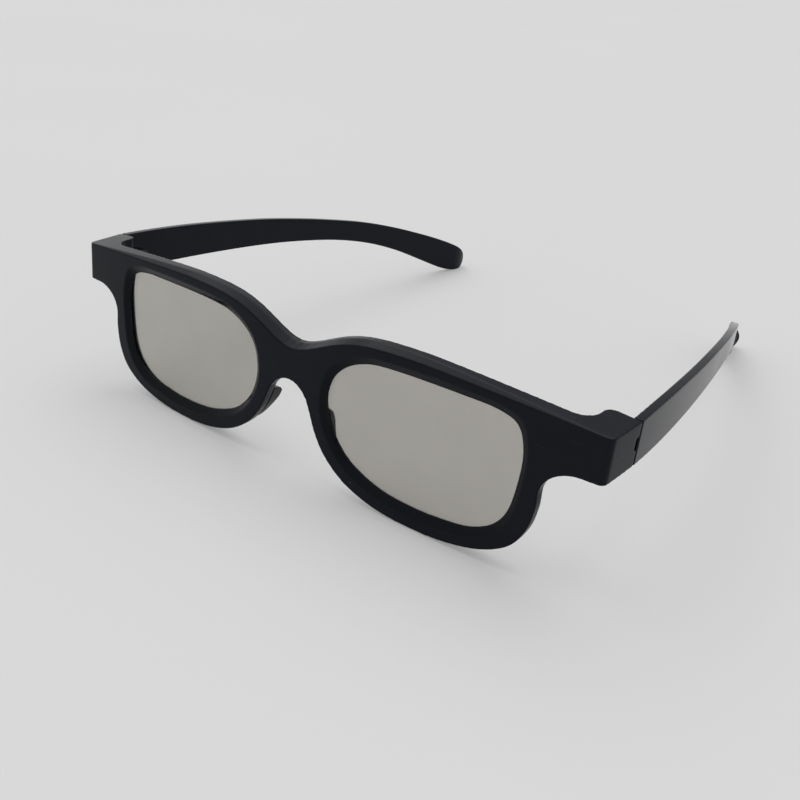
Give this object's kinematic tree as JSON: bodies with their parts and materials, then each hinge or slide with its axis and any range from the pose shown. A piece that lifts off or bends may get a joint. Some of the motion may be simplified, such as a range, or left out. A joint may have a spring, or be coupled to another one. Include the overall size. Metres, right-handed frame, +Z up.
{
  "type": "3d glasses",
  "caption": "Passive 3d glasses with a black plastic front, grey polarising lens films and folding temples with dropped ear ends.",
  "frame": {"origin": "middle of the width and of the length, on the floor that the rims and temple tips stand on", "axes": "+X to the wearer's left, +Y from the lenses towards the ears, +Z up"},
  "size_m": [0.149, 0.143, 0.0366],
  "materials": {
    "black_plastic": "moulded black, low gloss front and shinier temples",
    "retarder_film": "clear glossy film",
    "polariser_film": "neutral grey film",
    "pin_steel": "bright drawn wire"
  },
  "bodies": {
    "front": {"front_frame": "black_plastic", "rear_frame": "black_plastic", "left_retarder_film": "retarder_film", "right_retarder_film": "retarder_film", "left_polariser_film": "polariser_film", "right_polariser_film": "polariser_film", "left_hinge_pin": "pin_steel", "right_hinge_pin": "pin_steel"},
    "left_arm": {"left_temple": "black_plastic"},
    "right_arm": {"right_temple": "black_plastic"}
  },
  "joints": [
    {"name": "left_temple_fold", "type": "hinge", "parent": "front", "child": "left_arm", "pos_m": [0.0698, -0.05896, 0.02932], "axis": [0, 0.0899, 0.996], "range_deg": [0, 80]},
    {"name": "right_temple_fold", "type": "hinge", "parent": "front", "child": "right_arm", "pos_m": [-0.0698, -0.05896, 0.02932], "axis": [0, -0.0899, -0.996], "range_deg": [0, 75]}
  ]
}
